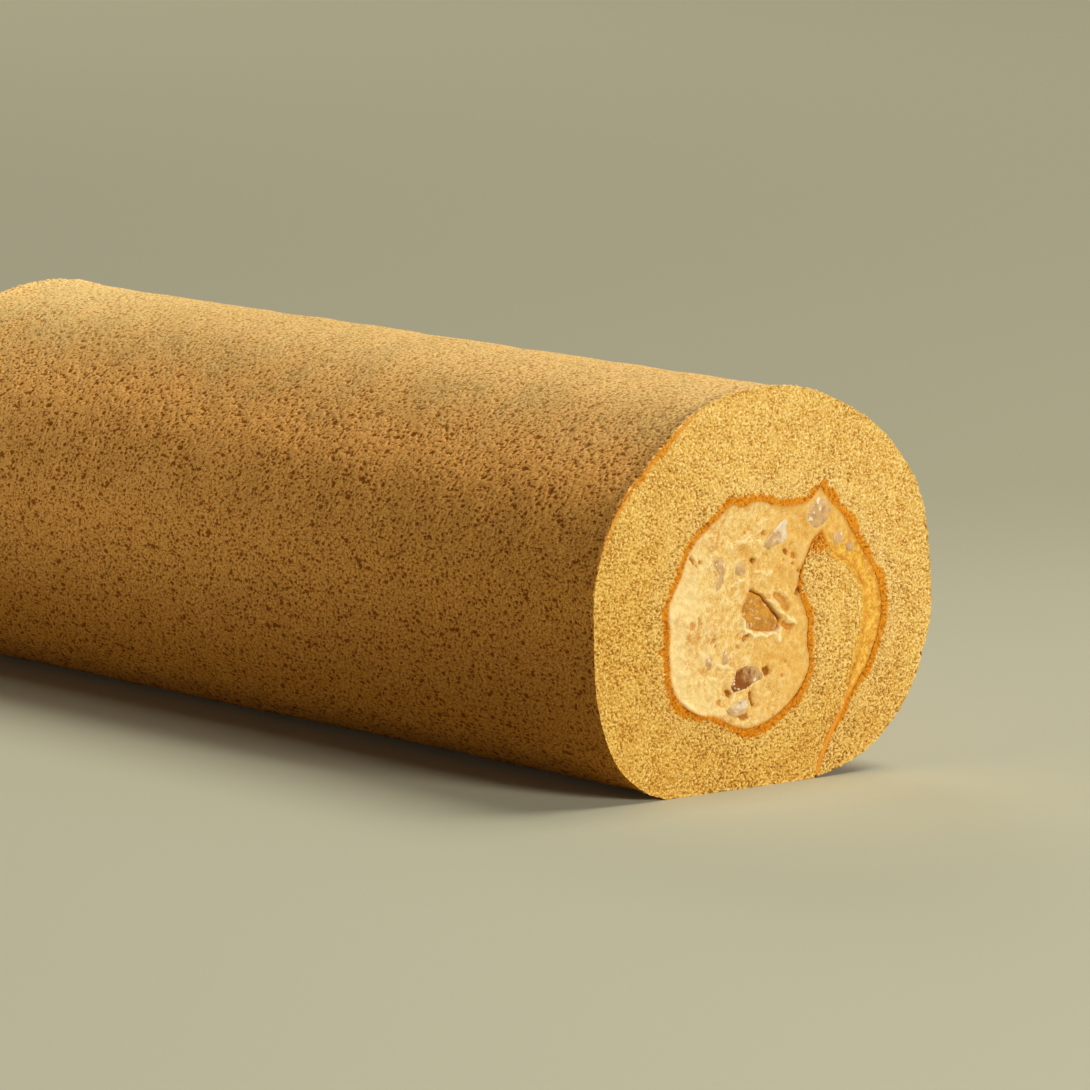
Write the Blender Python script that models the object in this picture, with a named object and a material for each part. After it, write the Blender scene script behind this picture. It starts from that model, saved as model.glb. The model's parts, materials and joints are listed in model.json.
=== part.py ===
"""Swiss roll cake: a thick sponge sheet, rolled a turn and a third round a cream filling with soft fruit in it.

Metres, +Z up. The roll lies along X and its two cut ends face -X and +X. The origin is on the surface that the roll
rests on, under its middle. The section is drawn in millimetres as (across, up), where across is +Y.
"""

import math
import random

import bmesh
import bpy
from mathutils import Matrix, Vector, geometry

MM = 0.001
LENGTH = 228.0  # from cut end to cut end
CURVE_STEP = 1.5  # longest facet of a round stretch
PIECE_GAP = 0.3  # left between neighbours, so that no two solids share a face
POCKET_GAP = 0.4  # round a fruit chunk in its pocket
CHUNK_BEVEL = 0.22  # of a chunk's thickness
CHUNK_WOBBLE = 0.07  # how uneven a chunk's corners are, as a share of its size
SEED = 7

# The sheet's browned side, which faces the filling. It starts at the inner end, which stands up like a tongue,
# goes down, under and up the filling to the first fold, on to the peak, and down the far side to the free end.
TONGUE_TIP = (14.2, 46.9)
FIRST_FOLD = (-7.8, 53.9)
PEAK = (13.6, 55.3)
FREE_END = (13.6, 0.8)
BROWNED_UNDER_AND_UP = [
    TONGUE_TIP, (12.0, 45.6), (10.3, 42.6), (8.7, 39.6), (8.2, 36.6), (9.4, 33.4), (10.6, 30.0), (10.4, 26.0),
    (11.0, 22.4), (10.0, 19.4), (7.6, 16.4), (4.2, 13.9), (0.3, 12.1), (-4.2, 11.3), (-8.6, 12.6), (-12.0, 14.2),
    (-16.0, 15.2), (-20.2, 17.6), (-22.5, 21.0), (-23.0, 25.0), (-23.3, 28.0), (-22.9, 31.0), (-23.5, 34.6),
    (-22.3, 38.2), (-20.2, 41.2), (-19.0, 44.6), (-16.4, 47.8), (-12.8, 50.4), FIRST_FOLD,
]  # fmt: skip
BROWNED_TOP = [FIRST_FOLD, (-5.6, 52.9), (-2.0, 53.6), (1.6, 52.8), (5.2, 52.1), (9.0, 52.2), (11.6, 53.3), PEAK]
BROWNED_DOWN = [
    PEAK, (15.2, 53.0), (17.7, 50.7), (20.2, 47.8), (22.2, 44.8), (24.6, 41.4), (27.0, 38.0), (28.4, 34.5),
    (28.8, 31.0), (28.3, 27.5), (26.9, 23.6), (24.9, 20.0), (22.2, 16.6),
]  # fmt: skip
BROWNED_SEAM = [(22.2, 16.6), (19.6, 13.2), (17.6, 10.0), (15.5, 6.6), (13.9, 3.2), FREE_END]

# The sheet's paler side: the outside of the roll from the free end over the top to the flat foot, then the seam
# under the free end, and the tongue's outer side back up to its tip.
OUTSIDE = [
    FREE_END, (21.0, 2.3), (30.0, 7.4), (37.0, 16.0), (40.9, 27.0), (41.2, 37.0), (38.8, 51.0), (32.0, 61.5),
    (22.0, 69.0), (11.0, 73.6), (2.0, 75.0), (-8.0, 74.4), (-17.0, 71.6), (-27.0, 64.0), (-36.0, 54.5),
    (-40.8, 42.5), (-41.3, 33.0), (-40.3, 19.0), (-36.0, 8.0), (-29.5, 2.2), (-24.0, 0.0),
]  # fmt: skip
FOOT_END = (12.4, 0.0)
SEAM = [FOOT_END, (13.2, 2.6), (15.2, 6.8), (17.3, 10.2), (19.3, 13.5), (21.0, 17.1)]
TONGUE_OUTER = [
    (21.0, 17.1), (22.9, 21.6), (24.3, 26.0), (24.9, 31.0), (24.4, 35.5), (22.6, 38.4), (20.2, 40.6), (17.3, 42.2),
    (15.4, 44.2), TONGUE_TIP,
]  # fmt: skip

# Fruit chunks that show at a cut end: (across, up, width, height, depth into the roll, turn in degrees).
NEAR_CHUNKS = [
    (13.6, 50.4, 4.2, 4.6, 6.0, 42),
    (18.0, 45.0, 2.8, 2.6, 4.0, 42),
    (21.0, 43.2, 2.2, 2.2, 3.0, 20),
    (2.8, 47.2, 3.0, 6.0, 5.0, -44),
    (-11.0, 42.2, 2.8, 3.8, 4.0, -18),
    (-6.0, 41.4, 2.8, 2.6, 4.0, 12),
    (-1.2, 32.4, 6.8, 5.6, 6.0, -38),
    (-9.6, 25.0, 2.0, 3.0, 3.0, 8),
    (-13.7, 24.6, 2.4, 2.8, 3.0, -30),
    (-4.4, 21.0, 6.8, 3.6, 6.0, 24),
    (-6.4, 15.4, 3.6, 3.2, 4.0, 18),
]
FAR_CHUNKS = [
    (-14.2, 40.4, 4.4, 4.0, 5.0, 30),
    (-3.4, 47.4, 5.2, 3.4, 5.0, -12),
    (6.4, 45.6, 3.0, 3.4, 4.0, 40),
    (15.0, 49.6, 3.4, 3.6, 5.0, 24),
    (20.6, 43.4, 2.4, 2.4, 3.0, 50),
    (-1.8, 36.4, 3.0, 2.6, 3.0, 5),
    (-16.6, 29.2, 3.0, 4.6, 5.0, -16),
    (-6.0, 27.6, 5.8, 4.6, 6.0, 34),
    (4.4, 22.4, 3.6, 3.0, 4.0, -34),
    (-10.4, 18.6, 3.2, 2.8, 4.0, 15),
    (0.4, 16.4, 2.6, 2.2, 3.0, -8),
]

SPONGE_COLOUR = (0.78, 0.50, 0.20, 1.0)
CREAM_COLOUR = (0.90, 0.66, 0.33, 1.0)
FRUIT_COLOUR = (0.55, 0.38, 0.20, 1.0)


def clear_scene():
    for thing in list(bpy.data.objects):
        bpy.data.objects.remove(thing)


def material(name, colour, roughness):
    made = bpy.data.materials.new(name)
    made.use_nodes = True
    shader = made.node_tree.nodes["Principled BSDF"]
    shader.inputs["Base Color"].default_value = colour
    shader.inputs["Roughness"].default_value = roughness
    return made


def smooth(points):
    """Points a step apart on the smooth curve through these, without its last one."""
    stops = [Vector(p) for p in points]
    ends = [2 * stops[0] - stops[1], *stops, 2 * stops[-1] - stops[-2]]
    curve = []
    for before, start, stop, after in zip(ends, ends[1:], ends[2:], ends[3:]):
        reach = (stop - start).length / 3
        leave = (stop - before).normalized() * reach
        arrive = (after - start).normalized() * reach
        count = max(2, math.ceil((stop - start).length / CURVE_STEP) + 1)
        curve += geometry.interpolate_bezier(start, start + leave, stop - arrive, stop, count)[:-1]
    return curve


def shrunk(outline, by):
    """A counter-clockwise outline moved inwards."""
    moved = []
    for before, here, after in zip([outline[-1], *outline], outline, [*outline[1:], outline[0]]):
        first = (here - before).normalized()
        second = (after - here).normalized()
        bisector = Vector((-first.y - second.y, first.x + second.x)).normalized()
        slant = max(0.5, bisector.dot(Vector((-first.y, first.x))))
        moved.append(here + bisector * by / slant)
    return moved


def sheet_outline():
    """The whole sponge sheet's section, counter-clockwise."""
    outside = smooth(OUTSIDE) + [Vector(OUTSIDE[-1])]
    inner = smooth(SEAM) + smooth(TONGUE_OUTER)
    browned = smooth(BROWNED_UNDER_AND_UP) + smooth(BROWNED_TOP) + smooth(BROWNED_DOWN) + smooth(BROWNED_SEAM)
    return outside + inner + browned


def filling_outline():
    """The space between the sheet's browned side and the tongue, less the gap between pieces, counter-clockwise."""
    browned = smooth(BROWNED_UNDER_AND_UP) + smooth(BROWNED_TOP) + smooth(BROWNED_DOWN)
    cavity = browned + smooth(TONGUE_OUTER)
    return shrunk(cavity[::-1], PIECE_GAP)


def add_object(name, shape, finish):
    mesh = bpy.data.meshes.new(name)
    shape.to_mesh(mesh)
    shape.free()
    made = bpy.data.objects.new(name, mesh)
    bpy.context.scene.collection.objects.link(made)
    mesh.materials.append(finish)
    return made


def log(name, outline, finish):
    """A section run from one cut end to the other."""
    shape = bmesh.new()
    corners = [shape.verts.new((-LENGTH / 2 * MM, p.x * MM, p.y * MM)) for p in outline]
    end = shape.faces.new(corners)
    run = bmesh.ops.extrude_face_region(shape, geom=[end])["geom"]
    moved = [part for part in run if isinstance(part, bmesh.types.BMVert)]
    bmesh.ops.translate(shape, verts=moved, vec=(LENGTH * MM, 0, 0))
    bmesh.ops.triangulate(shape, faces=[face for face in shape.faces if len(face.verts) > 4])
    bmesh.ops.recalc_face_normals(shape, faces=shape.faces)
    return add_object(name, shape, finish)


def add_chunk(shape, row, side, seed, grow=0.0):
    """Adds an uneven bevelled block, half sunk in the cut end on that side, to a bmesh. Millimetres become metres."""
    across, up, width, height, depth, turn = row
    chance = random.Random(seed)
    block = bmesh.new()
    bmesh.ops.create_cube(block, size=1.0)
    for corner in block.verts:
        corner.co = Vector(c * (1 + chance.uniform(-CHUNK_WOBBLE, CHUNK_WOBBLE)) for c in corner.co)
    size = [side_length + 2 * grow for side_length in (depth, width, height)]
    bmesh.ops.scale(block, vec=size, verts=block.verts)
    bmesh.ops.bevel(
        block, geom=block.edges, offset=CHUNK_BEVEL * min(size), segments=1, affect="EDGES", offset_type="OFFSET"
    )
    place = Matrix.Translation((side * LENGTH / 2, across, up)) @ Matrix.Rotation(math.radians(turn), 4, "X")
    bmesh.ops.transform(block, matrix=Matrix.Scale(MM, 4) @ place, verts=block.verts)
    mesh = bpy.data.meshes.new("block")
    block.to_mesh(mesh)
    block.free()
    shape.from_mesh(mesh)
    bpy.data.meshes.remove(mesh)


def chunk(name, row, side, seed, finish):
    """One fruit chunk, sliced flush with the cut end."""
    shape = bmesh.new()
    add_chunk(shape, row, side, seed)
    cut = bmesh.ops.bisect_plane(
        shape,
        geom=[*shape.verts, *shape.edges, *shape.faces],
        plane_co=(side * LENGTH / 2 * MM, 0, 0),
        plane_no=(side, 0, 0),
        clear_outer=True,
    )
    rim = [part for part in cut["geom_cut"] if isinstance(part, bmesh.types.BMEdge)]
    bmesh.ops.edgeloop_fill(shape, edges=rim)
    bmesh.ops.recalc_face_normals(shape, faces=shape.faces)
    return add_object(name, shape, finish)


def pocket_cutter(placed):
    """All the pockets that hold the chunks, as one hidden shape."""
    shape = bmesh.new()
    for row, side, seed in placed:
        add_chunk(shape, row, side, seed, POCKET_GAP)
    bmesh.ops.recalc_face_normals(shape, faces=shape.faces)
    cutter = add_object("pocket_cutter", shape, bpy.data.materials["cream"])
    cutter.hide_render = True
    cutter.display_type = "WIRE"
    return cutter


def main():
    clear_scene()
    sponge = material("sponge", SPONGE_COLOUR, 0.85)
    cream = material("cream", CREAM_COLOUR, 0.45)
    fruit = material("fruit", FRUIT_COLOUR, 0.2)
    log("sponge_sheet", sheet_outline(), sponge)
    filling = log("cream_filling", filling_outline(), cream)
    rows = [(row, 1) for row in NEAR_CHUNKS] + [(row, -1) for row in FAR_CHUNKS]
    placed = [(row, side, SEED + number) for number, (row, side) in enumerate(rows)]
    for number, (row, side, seed) in enumerate(placed, start=1):
        chunk(f"fruit_chunk_{number:02d}", row, side, seed, fruit)
    cut = filling.modifiers.new("pockets", "BOOLEAN")
    cut.operation = "DIFFERENCE"
    cut.solver = "EXACT"
    cut.object = pocket_cutter(placed)


main()
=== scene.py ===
"""Swiss roll cake: the looks of a rolled sponge sheet with a cream filling and soft fruit, on its CAD frame.

The sheet's section, the chunks' places and the roll's length come from the CAD frame. The sheet is modelled
flat, as a grid, and rolled up onto the section: a thin piece for each cut end, where the crumb shows, and a
row of pieces between them for the outer turn. Colour and relief come from the same patterns, so they lie over
each other. Lengths are in metres, but in the tables that say mm.
"""

import json
import math
import random

import bmesh
import bpy
import numpy as np
from bpy.props import FloatProperty, FloatVectorProperty, PointerProperty
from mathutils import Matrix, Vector

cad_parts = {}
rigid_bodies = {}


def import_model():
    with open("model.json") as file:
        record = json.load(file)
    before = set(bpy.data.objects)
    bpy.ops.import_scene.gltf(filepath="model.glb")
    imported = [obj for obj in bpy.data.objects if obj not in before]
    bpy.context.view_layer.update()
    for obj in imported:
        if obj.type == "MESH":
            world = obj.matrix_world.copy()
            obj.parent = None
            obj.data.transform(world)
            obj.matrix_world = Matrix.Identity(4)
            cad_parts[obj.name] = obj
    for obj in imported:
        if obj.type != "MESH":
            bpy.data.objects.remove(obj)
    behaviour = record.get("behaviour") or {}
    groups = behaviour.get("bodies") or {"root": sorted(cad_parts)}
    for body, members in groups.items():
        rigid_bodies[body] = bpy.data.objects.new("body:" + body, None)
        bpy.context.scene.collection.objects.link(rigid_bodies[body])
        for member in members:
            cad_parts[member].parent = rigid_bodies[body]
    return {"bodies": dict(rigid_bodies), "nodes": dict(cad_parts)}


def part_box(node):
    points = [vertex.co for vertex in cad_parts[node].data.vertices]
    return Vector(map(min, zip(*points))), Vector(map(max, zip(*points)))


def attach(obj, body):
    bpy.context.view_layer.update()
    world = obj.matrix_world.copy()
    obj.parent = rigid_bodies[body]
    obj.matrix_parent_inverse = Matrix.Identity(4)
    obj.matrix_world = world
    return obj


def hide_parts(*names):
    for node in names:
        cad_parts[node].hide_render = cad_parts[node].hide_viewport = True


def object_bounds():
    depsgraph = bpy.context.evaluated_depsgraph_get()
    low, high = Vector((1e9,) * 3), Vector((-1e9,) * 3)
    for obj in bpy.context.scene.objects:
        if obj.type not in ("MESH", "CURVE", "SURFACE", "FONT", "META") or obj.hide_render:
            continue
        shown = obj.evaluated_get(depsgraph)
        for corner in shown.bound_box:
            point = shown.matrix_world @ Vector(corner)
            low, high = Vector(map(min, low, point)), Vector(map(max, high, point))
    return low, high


bl_info = {
    "name": "Swiss Roll Cake",
    "version": (1, 0, 0),
    "blender": (4, 5, 0),
    "location": "3D View > Sidebar > Roll",
    "description": "Models the sponge, cream and fruit of a swiss roll round its CAD frame",
    "category": "Object",
}

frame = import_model()
CAD_LOW, CAD_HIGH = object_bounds()
MM = 0.001
HALF_LENGTH = CAD_HIGH.x
BODY = next(iter(frame["bodies"]))

# Places in the section, as (across, up)
TONGUE_TIP = (14.2 * MM, 46.9 * MM)
TONGUE_MIDDLE = (5.0 * MM, 40.0 * MM)
FREE_END = (13.6 * MM, 0.8 * MM)
FOOT_END = (12.4 * MM, 0.0)
SEAM_END = (13.0 * MM, 0.7 * MM)  # of the filling's thin tail, low in the seam
FREE_END_SHIFT = (-0.75 * MM, -0.65 * MM)  # brings the sheet's free end down beside the foot

# The camera stands off the near cut end, to one side of it, and looks slightly down
CAMERA_PLACE = (1.1960, -0.9309, 0.2550)
CAMERA_AIM = (-0.768229, 0.623451, -0.145374)

FLOOR_FADE = (-0.777, 0.630, 0.0)  # direction along which the floor's painted shade and painted light change
SEED = 11
DRAG_ANGLE = 0.35  # of the knife's drags in the cream
BODY_PIECES = 6
END_DEPTH = 6.0 * MM  # length of the sponge's two end pieces
TORN_RIM = 4.0 * MM  # length over which the outside gets rough towards a cut end
TONGUE_FADE = 25.0 * MM  # run of the sheet over which the tongue begins, inwards from the foot
CREAM_END_DEPTH = 8.0 * MM
CREAM_SET_BACK = 0.15 * MM  # of the cream's front from the cut end
CUT_EDGE = 0.4  # share that the crumb's relief has at a cut end's outer edge; the rest is the felt's

# Sizes of the mesh's cells in the mesh steps of the settings; along the section a cell is one step long
ROW_STEP = 1.25  # across the sheet at a cut end
RING_STEP = 1.9  # along the roll, behind a cut end
LENGTH_STEP = 1.4  # along the roll, in a body piece

# The toasted skin's thickness in mm at places (across, up) along it
BAND_WIDTHS = [
    ((13.6, 0.8), 0.0), ((13.9, 3.2), 0.2), ((15.5, 6.6), 0.6), ((19.6, 13.2), 1.2), ((24.9, 20), 1.5),
    ((28.3, 27.5), 1.7), ((28.4, 34.5), 1.7), ((24.6, 41.4), 1.7), ((20.2, 47.8), 2.0), ((14, 52), 2.1),
    ((10, 53.8), 1.9), ((3, 53.6), 1.6), ((-5, 53.8), 2.1), ((-8, 53.9), 2.3), ((-10, 51.5), 1.4),
    ((-14, 47), 1.2), ((-18, 41), 1.4), ((-21.5, 34), 1.7), ((-23, 28), 1.8), ((-22.5, 22), 1.4),
    ((-20.5, 19), 2.8), ((-17, 15.5), 1.3), ((-12, 12.6), 1.1), ((-6, 11.6), 1.6), ((0, 13), 2.0),
    ((5, 17), 1.6), ((8.5, 23), 1.6), ((9, 30), 1.8), ((7.5, 36), 1.1), ((6, 41), 0.5), ((8, 45), 0.4),
    ((11.5, 47.4), 0.7),
]

# ---- Settings that a user would change ----


def colour(name, description, default):
    return FloatVectorProperty(
        name=name, description=description, default=default, subtype="COLOR", size=3, min=0.0, max=1.0
    )


def length(name, description, default):
    unit = {"subtype": "DISTANCE", "unit": "LENGTH", "precision": 5}
    return FloatProperty(name=name, description=description, default=default, min=0.0, **unit)


class SpongeSettings(bpy.types.PropertyGroup):
    crumb_cell: length("Crumb cell", "Distance between the crumb's fine holes", 0.72 * MM)
    crumb_depth: length("Crumb depth", "Depth of the holes at a cut end", 0.42 * MM)
    pit_spacing: length("Pit spacing", "Distance between the pits in the outside", 0.98 * MM)
    pit_depth: length("Pit depth", "Depth of the pits in the outside", 0.26 * MM)
    end_step: length("Cut end's mesh step", "Size of the mesh's cells at a cut end", 0.20 * MM)
    body_step: length("Outside's mesh step", "Size of the mesh's cells round a body piece", 0.26 * MM)
    wall: colour("Crumb", "Walls of the crumb's holes", (0.85, 0.53, 0.112))
    # The webs lie on the raised grain and the holes' colour in the holes: each partly the crumb's own colour,
    # partly painted light and shade
    bright: colour("Crumb, bright", "The crumb's thin light webs", (0.96, 0.75, 0.32))
    hole: colour("Crumb holes", "Inside of the crumb's holes", (0.45, 0.17, 0.008))
    toasted: colour("Toasted skin", "The skin that faces the filling", (0.78, 0.29, 0.012))
    toasted_dark: colour("Toasted skin, dark", "Darkest spots of the toasted skin", (0.48, 0.15, 0.007))
    # The outside's colours on top and below it are partly the peeled skin's own and partly painted light
    top: colour("Outside, top", "The peeled outside of the roll at its top", (0.92, 0.57, 0.16))
    low: colour("Outside, low", "The peeled outside of the roll below its top", (0.98, 0.455, 0.088))


class CreamSettings(bpy.types.PropertyGroup):
    mesh_step: length("Mesh step", "Size of the mesh's cells at a cut end", 0.27 * MM)
    smear: length("Smear", "Height of the knife's smears", 0.34 * MM)
    cream: colour("Cream", "The cream where it is thick", (0.80, 0.515, 0.135))
    # The pale lies on raised lumps and ridges, partly as painted light
    pale: colour("Cream, pale", "Fresh lumps and ridges", (0.93, 0.73, 0.34))
    golden: colour("Cream, golden", "The cream where it has drawn colour from the skin", (0.76, 0.40, 0.06))
    strip: colour("Cream, strip", "The thin strip of cream that lies between two turns", (0.82, 0.41, 0.036))
    # The stain lies beside the skin and in hollows and pits, in these partly as painted shade
    stain: colour("Cream, stained", "The cream beside the skin and in its hollows", (0.58, 0.21, 0.010))


class FruitSettings(bpy.types.PropertyGroup):
    grain: length("Grain", "Unevenness of a chunk's faces", 0.20 * MM)
    mesh_step: length("Mesh step", "Size of a chunk's mesh cells", 0.2 * MM)
    pale: colour("Pale fruit", "Translucent chunks", (0.60, 0.355, 0.135))
    amber: colour("Amber fruit", "The grainy orange chunk", (0.52, 0.225, 0.013))
    brown: colour("Brown fruit", "The dark glossy chunk", (0.27, 0.075, 0.004))


class StageSettings(bpy.types.PropertyGroup):
    floor: colour("Floor", "The plain floor", (0.55, 0.52, 0.35))
    # Painted shade: the floor's colour just behind the roll
    floor_painted_shade: colour("Floor, far", "The floor where it lies behind the roll", (0.445, 0.415, 0.265))
    lens: FloatProperty(name="Lens", description="Focal length in millimetres", default=256.5, min=1.0)
    key: FloatProperty(name="Key light", description="Power of the large soft light above", default=42.0)
    side: FloatProperty(name="Side light", description="Power of the low light on the near end", default=30.0)
    front: FloatProperty(name="Front light", description="Power of the weak low light in front", default=7.0)
    back: FloatProperty(name="Back light", description="Power of the weak light on the far end", default=12.0)
    fill: FloatProperty(name="Fill", description="Strength of the light from all round", default=0.012)


# ---- Nodes ----


def put(tree, kind, inputs=(), **settings):
    """Adds a node. Inputs are (name or number, value or socket) pairs."""
    made = tree.nodes.new(kind)
    for name, value in settings.items():
        setattr(made, name, value)
    for name, value in inputs:
        if isinstance(value, bpy.types.NodeSocket):
            tree.links.new(value, made.inputs[name])
        elif value is not None:
            made.inputs[name].default_value = value
    return made


def calc(tree, operation, first, second=None):
    return put(tree, "ShaderNodeMath", [(0, first), (1, second)], operation=operation).outputs[0]


def times(tree, first, second):
    return calc(tree, "MULTIPLY", first, second)


def total(tree, *parts):
    """Sum of values, each with its offset taken off and then scaled: (value, offset, scale)."""
    summed = 0.0
    for value, offset, scale in parts:
        scaled = times(tree, calc(tree, "SUBTRACT", value, offset), scale)
        summed = scaled if summed == 0.0 else calc(tree, "ADD", summed, scaled)
    return summed


def vector(tree, operation, first, second=None, output=0):
    return put(tree, "ShaderNodeVectorMath", [(0, first), (1, second)], operation=operation).outputs[output]


def move(tree, at, by):
    return vector(tree, "ADD", at, by)


def stretch(tree, at, by):
    return vector(tree, "MULTIPLY", at, by)


def axes(tree, at):
    """The vector's X, Y and Z."""
    return put(tree, "ShaderNodeSeparateXYZ", [(0, at)]).outputs


def ease(tree, value, low, high, to_low=0.0, to_high=1.0):
    """Value from low to high, eased into the range to_low to to_high."""
    pairs = [(0, value), (1, low), (2, high), (3, to_low), (4, to_high)]
    return put(tree, "ShaderNodeMapRange", pairs, interpolation_type="SMOOTHSTEP").outputs["Result"]


def noise(tree, at, size, detail=2.0, rough=0.5, twist=0.0):
    """Soft noise from 0 to 1 whose lumps are about as large as size."""
    pairs = [("Vector", at), ("Scale", 1.0 / size), ("Detail", detail), ("Roughness", rough)]
    pairs += [("Distortion", twist)]
    return put(tree, "ShaderNodeTexNoise", pairs).outputs[0]


def blend(tree, share, first, second):
    """First where share is 0, second where it is 1, as numbers."""
    return put(tree, "ShaderNodeMix", [(0, share), (2, first), (3, second)], data_type="FLOAT").outputs[0]


def tint(tree, share, first, second, mode="MIX"):
    """First where share is 0, second where it is 1, as colours."""
    first, second = (c if isinstance(c, bpy.types.NodeSocket) else (*c, 1.0) for c in (first, second))
    pairs = [(0, share), (6, first), (7, second)]
    return put(tree, "ShaderNodeMix", pairs, data_type="RGBA", blend_type=mode).outputs[2]


def shade(tree, base, by):
    """The colour times another."""
    return tint(tree, 1.0, base, by, "MULTIPLY")


def layered(tree, base, *layers):
    """The base with colours laid over it, each (value, start, stop, most, colour).

    A colour's share goes from 0 to the most as the value goes from its start to its stop.
    """
    for value, start, stop, most, over in layers:
        base = tint(tree, ease(tree, value, start, stop, 0.0, most), base, over)
    return base


def holes(tree, at, spacing, size, softness=0.35):
    """1 inside scattered round holes of mixed sizes, 0 between them. Size is a share of the spacing."""
    cells = put(tree, "ShaderNodeTexVoronoi", [("Vector", at), ("Scale", 1.0 / spacing)])
    chance = axes(tree, cells.outputs["Color"])[0]
    edge = times(tree, ease(tree, chance, 0.0, 1.0, 0.3, 1.0), size)
    inner = times(tree, edge, 1.0 - softness)
    return ease(tree, cells.outputs["Distance"], edge, inner)


def wander(tree, at, size, reach):
    """The place, pushed about by up to reach in lumps of a size, so that what is drawn there is uneven."""
    pairs = [("Vector", at), ("Scale", 1.0 / size), ("Detail", 1.0)]
    pushed = put(tree, "ShaderNodeTexNoise", pairs).outputs["Color"]
    return move(tree, at, stretch(tree, move(tree, pushed, (-0.5, -0.5, -0.5)), (2.0 * reach,) * 3))


def deepest(tree, first, *others):
    """The largest of the first value and of others that are each scaled: (value, scale)."""
    for other, share in others:
        first = calc(tree, "MAXIMUM", first, times(tree, other, share))
    return first


def crumb(tree, at):
    """Depth of the holes and height of the grain of a cut crumb, at a place counted in cells."""
    clusters = noise(tree, at, 6.0, 2.0, 0.6)
    at = wander(tree, wander(tree, at, 1.3, 0.4), 0.45, 0.26)
    grain = noise(tree, at, 0.62, 3.0, 0.62)
    dips = ease(tree, grain, 0.49, 0.39)
    pores = holes(tree, at, 1.2, 0.44, 0.6)
    dots = holes(tree, move(tree, at, (2.0, 7.0, 11.0)), 0.85, 0.42, 0.6)
    wide = holes(tree, move(tree, at, (5.0, 17.0, 3.0)), 2.6, 0.22, 0.5)
    large = holes(tree, move(tree, at, (9.0, 2.0, 31.0)), 7.0, 0.16, 0.5)
    fine = deepest(tree, dips, (pores, 0.75), (dots, 0.6))
    fine = times(tree, fine, ease(tree, clusters, 0.35, 0.6, 0.52, 0.8))
    return deepest(tree, fine, (large, 0.9), (wide, 0.75)), grain


def felt(tree, at):
    """Depth of the pits, height of the felt and share of its threads on a skin, at a place in spacings."""
    at = wander(tree, stretch(tree, at, (1.0, 0.66, 1.0)), 1.1, 0.3)
    grain = noise(tree, at, 0.5, 3.0, 0.65)
    ridge = calc(tree, "ABSOLUTE", calc(tree, "SUBTRACT", noise(tree, at, 0.6, 3.0, 0.6), 0.5))
    threads = ease(tree, ridge, 0.045, 0.0)
    large = holes(tree, at, 4.0, 0.19, 0.5)
    medium = holes(tree, move(tree, at, (21.0, 3.0, 4.0)), 1.7, 0.36, 0.6)
    small = holes(tree, move(tree, at, (7.0, 13.0, 40.0)), 0.85, 0.50, 0.6)
    dips = ease(tree, grain, 0.47, 0.35)
    return deepest(tree, small, (large, 0.95), (medium, 0.85), (dips, 0.6)), grain, threads


def smears(tree, at):
    """Height of the lumps and of the knife's drags on cut cream, and depth of its pits, at a place in mm."""
    lumps = noise(tree, at, 3.6, 4.0, 0.6, 0.6)
    pairs = [("Vector", at), ("Angle", DRAG_ANGLE)]
    turned = put(tree, "ShaderNodeVectorRotate", pairs, rotation_type="X_AXIS").outputs[0]
    drags = noise(tree, wander(tree, stretch(tree, turned, (1.0, 1.0, 0.4)), 2.0, 0.7), 0.9, 3.0, 0.6)
    pits = holes(tree, wander(tree, at, 1.5, 0.3), 3.2, 0.16, 0.5)
    return lumps, drags, pits


def mottle(tree, at):
    """Broad and fine cloudy patches, at a place in mm."""
    return noise(tree, at, 7.0, 3.0, 0.6), noise(tree, at, 0.35, 2.0, 0.6)


PATTERNS = {
    crumb: ("Depth", "Grain"),
    felt: ("Depth", "Felt", "Threads"),
    smears: ("Lumps", "Drags", "Pits"),
    mottle: ("Broad", "Fine"),
}


def pattern(tree, made_by, at, cell):
    """Places a pattern's node group, made once for each kind of tree, with its place counted in cells."""
    kind = "Geometry" if tree.bl_idname == "GeometryNodeTree" else "Shader"
    name = f"{made_by.__name__} ({kind.lower()})"
    group = bpy.data.node_groups.get(name)
    if group is None:
        group = bpy.data.node_groups.new(name, tree.bl_idname)
        group.interface.new_socket(name="Place", in_out="INPUT", socket_type="NodeSocketVector")
        for label in PATTERNS[made_by]:
            group.interface.new_socket(name=label, in_out="OUTPUT", socket_type="NodeSocketFloat")
        start = group.nodes.new("NodeGroupInput")
        end = group.nodes.new("NodeGroupOutput")
        for made, socket in zip(made_by(group, start.outputs[0]), end.inputs):
            group.links.new(made, socket)
    placed = put(tree, kind + "NodeGroup", [(0, stretch(tree, at, (1.0 / cell,) * 3))], node_tree=group)
    return placed.outputs[: len(PATTERNS[made_by])]


def new_material(name, **constants):
    """An empty material with a Principled shader, its constant sockets set."""
    made = bpy.data.materials.new(name)
    made.use_nodes = True
    shader = made.node_tree.nodes["Principled BSDF"]
    for label, value in constants.items():
        shader.inputs[label.replace("_", " ")].default_value = value
    return made, made.node_tree, shader


def attribute(tree, name, output="Fac"):
    return put(tree, "ShaderNodeAttribute", attribute_name=name).outputs[output]


def object_place(tree, by=(1.0, 1.0, 1.0)):
    return stretch(tree, put(tree, "ShaderNodeTexCoord").outputs["Object"], by)


def bump(tree, height, strength, distance):
    pairs = [("Height", height), ("Strength", strength), ("Distance", distance)]
    return put(tree, "ShaderNodeBump", pairs).outputs["Normal"]


# ---- The section ----


def soften(value):
    value = np.clip(value, 0, 1)
    return value * value * (3 - 2 * value)


def lengths_along(points):
    steps = np.linalg.norm(np.diff(points, axis=0), axis=1)
    return np.concatenate([[0.0], np.cumsum(steps)])


def resampled(points, count):
    """The same line with count points, evenly spaced."""
    reach = lengths_along(points)
    at = np.linspace(0.0, reach[-1], count)
    return np.column_stack([np.interp(at, reach, points[:, k]) for k in range(points.shape[1])])


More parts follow.
